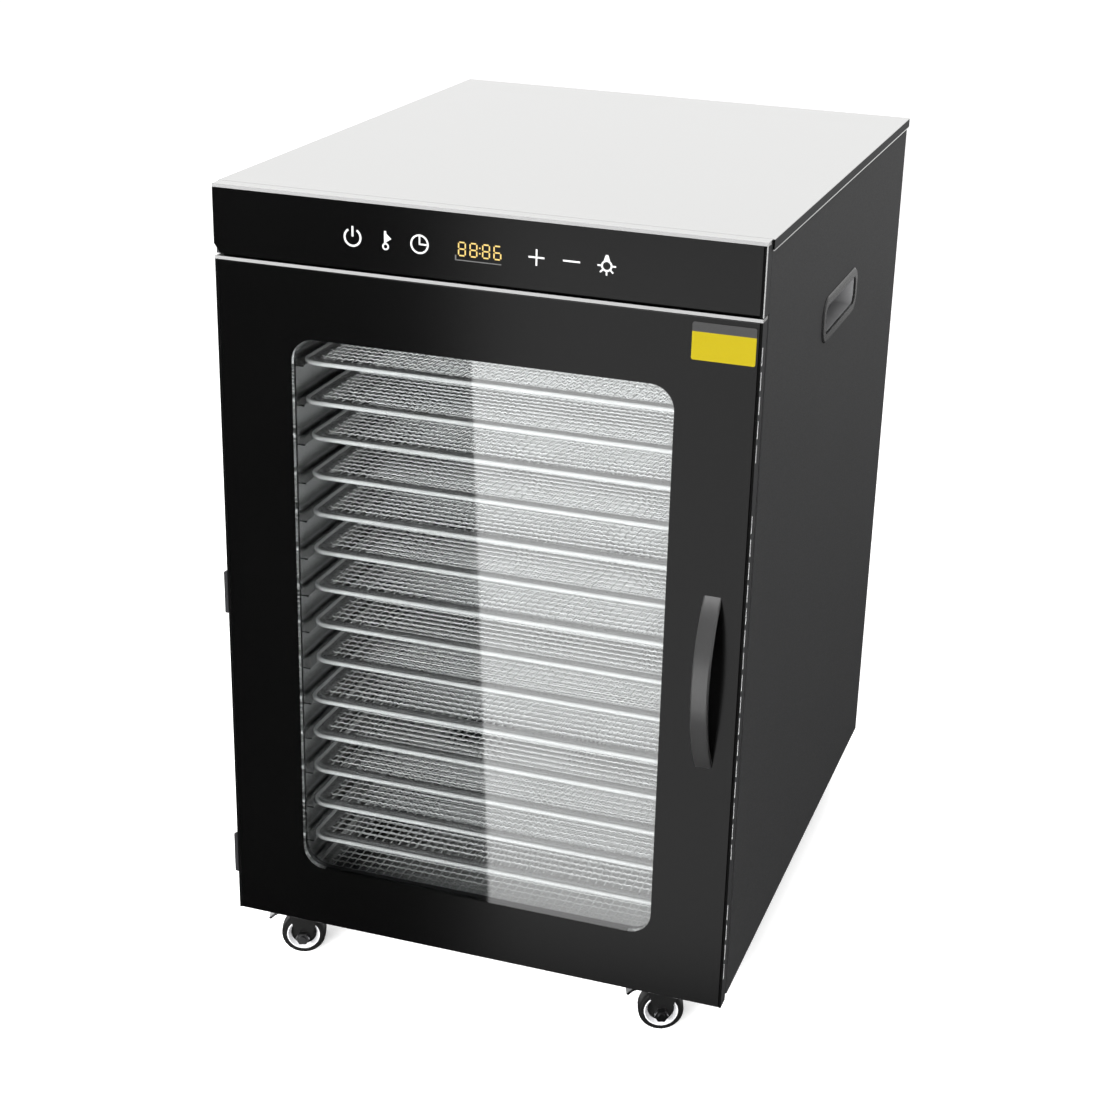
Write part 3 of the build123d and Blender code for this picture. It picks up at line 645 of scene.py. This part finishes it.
def build_door_glass():
    """The door's sheet of glass: a black printed border and a clear window."""
    low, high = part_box("door_glass")
    glass_middle = (low.z + high.z) / 2
    narrower = 1 - GLASS_BEVEL / high.x
    shorter = 1 - GLASS_BEVEL / (high.z - glass_middle)
    window_middle = (WINDOW_HIGH + WINDOW_LOW) / 2
    window = rounded_outline(WINDOW_HALF, (WINDOW_HIGH - WINDOW_LOW) / 2, WINDOW_CORNER, 16)
    window = [(x, z + window_middle) for x, z in window]
    edge = matched_outline(window, high.x, low.z, high.z)
    inset = [(x * narrower, glass_middle + (z - glass_middle) * shorter) for x, z in edge]

    border = Soup()
    border.rings(
        [
            [(x, low.y, z) for x, z in window],
            [(x, low.y, z) for x, z in inset],
            [(x, low.y + GLASS_BEVEL, z) for x, z in edge],
            [(x, high.y, z) for x, z in edge],
            [(x, high.y, z) for x, z in window],
        ]
    )
    border_mesh = border.mesh("door_glass_border", black_print_material("door_print"))
    add_piece("door_glass_border", border_mesh, "door", ["door_glass"])

    pane = Soup()
    pane.slab([(x * (1 - PANE_GAP), z) for x, z in reversed(window)], low.y, high.y, Y)
    pane_mesh = pane.mesh("door_glass_window", window_material())
    add_piece("door_glass_window", pane_mesh, "door", ["door_glass"])


build_door_glass()


# ---------------------------------------------------------------- trays
tray_wire = brushed_steel("tray_wire", (0.86, 0.86, 0.86), 0.36, (500, 500, 500), 0.04, 0.03, metallic=0.10)
tray_sheet = brushed_steel("tray_sheet", (0.40, 0.40, 0.40), 0.30, (500, 500, 500), 0.06, 0.05, metallic=0.5)


def tray_shape():
    """A tray about its own centre: round bead, flat band and woven wires."""
    low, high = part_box("tray_01")
    bead_x = (high.x - low.x) / 2 - BEAD_RADIUS
    bead_y = (high.y - low.y) / 2 - BEAD_RADIUS
    inner_x = bead_x - FLANGE_SIDE
    inner_y = bead_y - FLANGE_FRONT
    soup = Soup()
    bead = rounded_outline(bead_x, bead_y, TRAY_CORNER)
    soup.tube([(x, y, 0) for x, y in bead], BEAD_RADIUS, BEAD_SIDES, closed=True)
    bead_faces = len(soup.faces)
    inner = rounded_outline(inner_x, inner_y, FLANGE_CORNER)
    soup.band(bead, inner, -FLANGE_SHEET / 2, FLANGE_SHEET / 2)
    flange_faces = range(bead_faces, len(soup.faces))

    columns = int(2 * inner_x / WIRE_PITCH_X)
    rows = int(2 * inner_y / WIRE_PITCH_Y)
    first_x = -(columns - 1) / 2 * WIRE_PITCH_X
    first_y = -(rows - 1) / 2 * WIRE_PITCH_Y

    # The crosswise wires make three waves in two pitches, with four points to a wave.
    period = WIRE_PITCH_X * 2 / 3
    reach = inner_x + WIRE_TUCK
    steps = int(2 * reach / (period / 4))
    along = (np.arange(steps + 1) - steps / 2) * period / 4
    for row in range(rows):
        y = (row - (rows - 1) / 2) * WIRE_PITCH_Y
        sign = -1 if row % 2 else 1
        wave = sign * CROSS_WAVE * np.cos(2 * np.pi * (along - first_x) / period)
        soup.tube(np.column_stack([along, np.full(len(along), y), wave]), CROSS_WIRE, WIRE_SIDES)

    # The front-to-back wires go over one crosswise wire and under the next.
    reach = inner_y + WIRE_TUCK
    steps = int(2 * reach / (WIRE_PITCH_Y / 2))
    along = (np.arange(steps + 1) - steps / 2) * WIRE_PITCH_Y / 2
    for column in range(columns):
        x = first_x + column * WIRE_PITCH_X
        sign = 1 if column % 2 else -1
        wave = sign * LONG_WAVE * np.cos(np.pi * (along - first_y) / WIRE_PITCH_Y)
        soup.tube(np.column_stack([np.full(len(along), x), along, wave]), LONG_WIRE, WIRE_SIDES)

    mesh = soup.mesh("woven_tray", tray_wire, tray_sheet, smooth=True)
    for number in flange_faces:
        mesh.polygons[number].material_index = 1
    return mesh


tray_mesh = tray_shape()
for name in sorted(name for name in nodes if name.startswith("tray_")):
    low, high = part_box(name)
    add_piece(f"woven_{name}", tray_mesh, name, [name], place=(low + high) / 2)


# ---------------------------------------------------------------- door edge slots
def slot_outline():
    """A rim in its slot: across in mm, and up as a share of the slot's length."""
    left = [(-0.25, 1), (-0.25, 0.2), (-0.55, 0.12), (-0.65, 0.05), (-0.4, 0)]
    return left + [(-across, up) for across, up in reversed(left)]


def build_slot_rims():
    """Bright rolled rims of the slots in the door's two side edges."""
    low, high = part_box("door_frame")
    soup = Soup()
    for place in range(SLOT_PLACES):
        if place in SLOTS_LEFT_OUT:
            continue
        y = low.y + SLOT_INSET
        z = SLOT_FIRST + place * SLOT_PITCH
        rim = [(y + across * MM, z + up * SLOT_LENGTH) for across, up in slot_outline()]
        soup.slab(rim, high.x, high.x + RIM_PROUD, X)
        soup.slab(rim, low.x - RIM_PROUD, low.x, X)
    steel = brushed_steel("rim_steel", (0.80, 0.80, 0.80), 0.30, (400, 400, 400), 0.05, 0.04, metallic=0.2)
    add_piece("door_slot_rims", soup.mesh("door_slot_rims", steel), "door")


build_slot_rims()


# ---------------------------------------------------------------- touch controls
ICON_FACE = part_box("control_glass")[0].y
ICON_Z = (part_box("display_module")[0].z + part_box("display_module")[1].z) / 2
icon_white = glowing("icon_white", (0.12, 0.12, 0.12), 0.90, (0.90, 0.90, 0.90))
digit_amber = glowing("digit_amber", (0.10, 0.07, 0.02), 0.85, (0.95, 0.66, 0.20))
strip_grey = glowing("strip_grey", (0.02, 0.02, 0.02), 0.30, (0.5, 0.5, 0.5))


def patch(soup, outline):
    """Filled outline on the control glass."""
    soup.slab(outline, ICON_FACE - ICON_DEPTH, ICON_FACE, Y)


def stroke(soup, points, width, closed=False):
    """Flat line of constant width on the control glass."""
    path = np.asarray(points, float)
    if closed:
        ahead = np.roll(path, -1, 0) - np.roll(path, 1, 0)
    else:
        ahead = np.gradient(path, axis=0)
    ahead /= np.linalg.norm(ahead, axis=1)[:, None]
    side = np.column_stack([-ahead[:, 1], ahead[:, 0]]) * width * STROKE / 2
    left = path + side
    right = path - side
    count = len(path)
    for k in range(count if closed else count - 1):
        after = (k + 1) % count
        patch(soup, [right[k], right[after], left[after], left[k]])


def arc_points(x, z, radius, start, end, steps=40):
    """Points on an arc from one angle to another, in degrees anticlockwise."""
    angles = np.radians(np.linspace(start, end, steps + 1))
    return [(x + radius * math.cos(a), z + radius * math.sin(a)) for a in angles]


def circle(soup, x, z, radius, width):
    """Closed ring of constant width."""
    stroke(soup, arc_points(x, z, radius, 0, 360)[:-1], width, closed=True)


def draw_power(soup, x):
    stroke(soup, arc_points(x, ICON_Z - 0.4 * MM, 6.4 * MM, 122, 418), 1.9 * MM)
    stroke(soup, [(x, ICON_Z + 8.0 * MM), (x, ICON_Z + 0.2 * MM)], 1.9 * MM)


def draw_thermometer(soup, x):
    circle(soup, x, ICON_Z - 4.6 * MM, 2.1 * MM, 1.5 * MM)
    tube_x = x - 0.3 * MM
    stroke(soup, [(tube_x, ICON_Z - 2.6 * MM), (tube_x, ICON_Z + 7.0 * MM)], 2.2 * MM)
    flag_x = x + 0.6 * MM
    patch(soup, [(flag_x, ICON_Z - 1.2 * MM), (x + 4.6 * MM, ICON_Z + 1.4 * MM), (flag_x, ICON_Z + 5.2 * MM)])


def draw_clock(soup, x):
    circle(soup, x, ICON_Z, 6.6 * MM, 1.7 * MM)
    stroke(soup, [(x, ICON_Z + 5.8 * MM), (x, ICON_Z - 0.6 * MM)], 1.5 * MM)
    stroke(soup, [(x - 0.6 * MM, ICON_Z), (x + 5.6 * MM, ICON_Z)], 1.5 * MM)


def draw_plus(soup, x):
    stroke(soup, [(x - 6.1 * MM, ICON_Z), (x + 6.1 * MM, ICON_Z)], 1.6 * MM)
    stroke(soup, [(x, ICON_Z - 6.1 * MM), (x, ICON_Z + 6.1 * MM)], 1.6 * MM)


def draw_minus(soup, x):
    stroke(soup, [(x - 6.5 * MM, ICON_Z), (x + 6.5 * MM, ICON_Z)], 1.6 * MM)


def draw_lamp(soup, x):
    """Round bulb under a tapered cap, with five rays."""
    z = ICON_Z - 0.4 * MM
    circle(soup, x, z, 3.6 * MM, 1.7 * MM)
    cap_low = z + 3.2 * MM
    cap_high = z + 8.0 * MM
    cap = [(x - 2.6 * MM, cap_low), (x + 2.6 * MM, cap_low)]
    cap += [(x + 0.9 * MM, cap_high), (x - 0.9 * MM, cap_high)]
    patch(soup, cap)
    for angle in (-180, -135, -90, -45, 0):
        ray = math.radians(angle)
        start = (x + 4.2 * MM * math.cos(ray), z + 4.2 * MM * math.sin(ray))
        end = (x + 7.0 * MM * math.cos(ray), z + 7.0 * MM * math.sin(ray))
        stroke(soup, [start, end], 1.5 * MM)


# Ends of each segment of a lit figure, as shares of its half width and half height.
SEGMENTS = {
    "top": ((-1, 1), (1, 1)),
    "upper_right": ((1, 1), (1, 0)),
    "lower_right": ((1, 0), (1, -1)),
    "bottom": ((1, -1), (-1, -1)),
    "lower_left": ((-1, -1), (-1, 0)),
    "upper_left": ((-1, 0), (-1, 1)),
    "middle": ((-1, 0), (1, 0)),
}

# Each figure's place in mm from the display's middle, and its segment that is dark.
FIGURES = ((-13.2, None), (-4.2, None), (5.6, None), (14.4, "upper_right"))


def draw_digits(soup, x):
    """Seven-segment figures with a colon between the pairs."""
    for place, dark in FIGURES:
        for segment, (start, end) in SEGMENTS.items():
            if segment == dark:
                continue
            figure_x = x + place * MM
            first = Vector((figure_x + start[0] * FIGURE_HALF_WIDE, ICON_Z + start[1] * FIGURE_HALF_TALL))
            last = Vector((figure_x + end[0] * FIGURE_HALF_WIDE, ICON_Z + end[1] * FIGURE_HALF_TALL))
            gap = (last - first).normalized() * SEGMENT_GAP
            stroke(soup, [first + gap, last - gap], 1.25 * MM)
    for rise in (-2.0, 2.0):
        z = ICON_Z + rise * MM
        stroke(soup, [(x + 0.1 * MM, z), (x + 1.3 * MM, z)], 1.2 * MM)


def draw_strip(soup, x):
    """Edge of the display's window, lit under the figures and up its left end."""
    low = ICON_Z - 8.4 * MM
    end_x = x - 18.1 * MM
    stroke(soup, [(x - 18.5 * MM, low), (x + 17.5 * MM, low)], 0.9 * MM)
    stroke(soup, [(end_x, low), (end_x, low + 3.6 * MM)], 1.3 * MM)


# Each print's name, its middle along X in mm, its drawing and its material.
for name, middle, draw, material in (
    ("icon_power", -100.1, draw_power, icon_white),
    ("icon_thermometer", -73.6, draw_thermometer, icon_white),
    ("icon_clock", -46.6, draw_clock, icon_white),
    ("icon_plus", 44.5, draw_plus, icon_white),
    ("icon_minus", 71.2, draw_minus, icon_white),
    ("icon_lamp", 97.8, draw_lamp, icon_white),
    ("display_digits", 0.0, draw_digits, digit_amber),
    ("display_strip", 0.0, draw_strip, strip_grey),
):
    print_soup = Soup()
    draw(print_soup, middle * MM)
    add_piece(name, print_soup.mesh(name, material), "cabinet")


# ---------------------------------------------------------------- floor, light and camera
def build_floor():
    """White studio floor that the object's gloss doesn't mirror."""
    bpy.ops.mesh.primitive_plane_add(size=30, location=(0, 0, 0))
    floor = bpy.context.active_object
    floor.name = "floor"
    s = Shader("floor_white")
    mottle = s.noise(3.0, 2.0)
    surface = s.principled(
        Base_Color=s.tint(mottle, (0.88, 0.88, 0.88), (0.90, 0.90, 0.90)),
        Roughness=0.9,
        Emission_Color=(1, 1, 1),
        Emission_Strength=0.40,
    )
    floor.data.materials.append(s.done(surface.outputs[0]))
    floor.visible_glossy = False


def area_light(name, place, aim, size_x, size_y, power, turn=0.0, mirrored=True):
    """Rectangular light aimed at a point, turned about its beam by some degrees."""
    data = bpy.data.lights.new(name, "AREA")
    data.shape = "RECTANGLE"
    data.size = size_x
    data.size_y = size_y
    data.energy = power
    lamp = bpy.data.objects.new(name, data)
    scene.collection.objects.link(lamp)
    lamp.location = place
    facing = (Vector(aim) - Vector(place)).to_track_quat("-Z", "Y").to_matrix()
    lamp.rotation_euler = (facing @ Matrix.Rotation(math.radians(turn), 3, "Z")).to_euler()
    lamp.visible_camera = False
    lamp.visible_glossy = mirrored


def build_world():
    """Bright above the horizon behind the object, dark below it and in front."""
    world = bpy.data.worlds.new("studio")
    scene.world = world
    world.use_nodes = True
    tree = world.node_tree
    tree.nodes.clear()
    output = tree.nodes.new("ShaderNodeOutputWorld")
    background = tree.nodes.new("ShaderNodeBackground")
    background.inputs["Color"].default_value = (1, 1, 1, 1)
    where = tree.nodes.new("ShaderNodeTexCoord")
    parts = tree.nodes.new("ShaderNodeSeparateXYZ")
    tree.links.new(where.outputs["Generated"], parts.inputs[0])
    both = tree.nodes.new("ShaderNodeMath")
    both.operation = "MULTIPLY"
    # Direction from and to, brightness from and to: by height, then by distance behind.
    rises = (("Z", (-0.30, -0.18, 0.03, 1.05)), ("Y", (-0.45, 0.10, 0.06, 1.0)))
    for number, (axis, limits) in enumerate(rises):
        rise = tree.nodes.new("ShaderNodeMapRange")
        for socket, value in zip(rise.inputs[1:5], limits):
            socket.default_value = value
        tree.links.new(parts.outputs[axis], rise.inputs[0])
        tree.links.new(rise.outputs[0], both.inputs[number])
    tree.links.new(both.outputs[0], background.inputs["Strength"])
    tree.links.new(background.outputs[0], output.inputs[0])


def build_camera(place, look, roll, lens, shift):
    """Camera at a place, looking along a direction, rolled by some degrees."""
    data = bpy.data.cameras.new("camera")
    data.lens = lens
    data.sensor_width = 36
    data.shift_x, data.shift_y = shift
    camera = bpy.data.objects.new("camera", data)
    scene.collection.objects.link(camera)
    camera.location = place
    level = Vector(look).to_track_quat("-Z", "Y").to_matrix()
    camera.rotation_euler = (level @ Matrix.Rotation(math.radians(roll), 3, "Z")).to_euler()
    scene.camera = camera


build_floor()
build_world()
build_camera(
    place=(0.5395, -1.6399, 1.0214),
    look=(-0.27463, 0.88530, -0.37526),
    roll=2.04,
    lens=68.38,
    shift=(-0.0552, 0.0018),
)
area_light("key_top", place=(0.2, -0.6, 2.6), aim=(0, 0, 0.4), size_x=2.4, size_y=2.0, power=45)
area_light(
    "front_soft",
    place=(-0.6, -2.8, 1.15),
    aim=(-0.2, -0.2, 0.35),
    size_x=3.6,
    size_y=0.7,
    power=350,
    mirrored=False,
)
# The low card reaches down through the floor, and the window mirrors it as a pale sheet.
area_light(
    "low_card",
    place=(-0.30, -2.0, -0.40),
    aim=(-0.30, 0.0, -0.40),
    size_x=0.75,
    size_y=1.5,
    power=3.2,
    turn=2.4,
)
scene.view_settings.view_transform = "Standard"
scene.view_settings.look = "None"
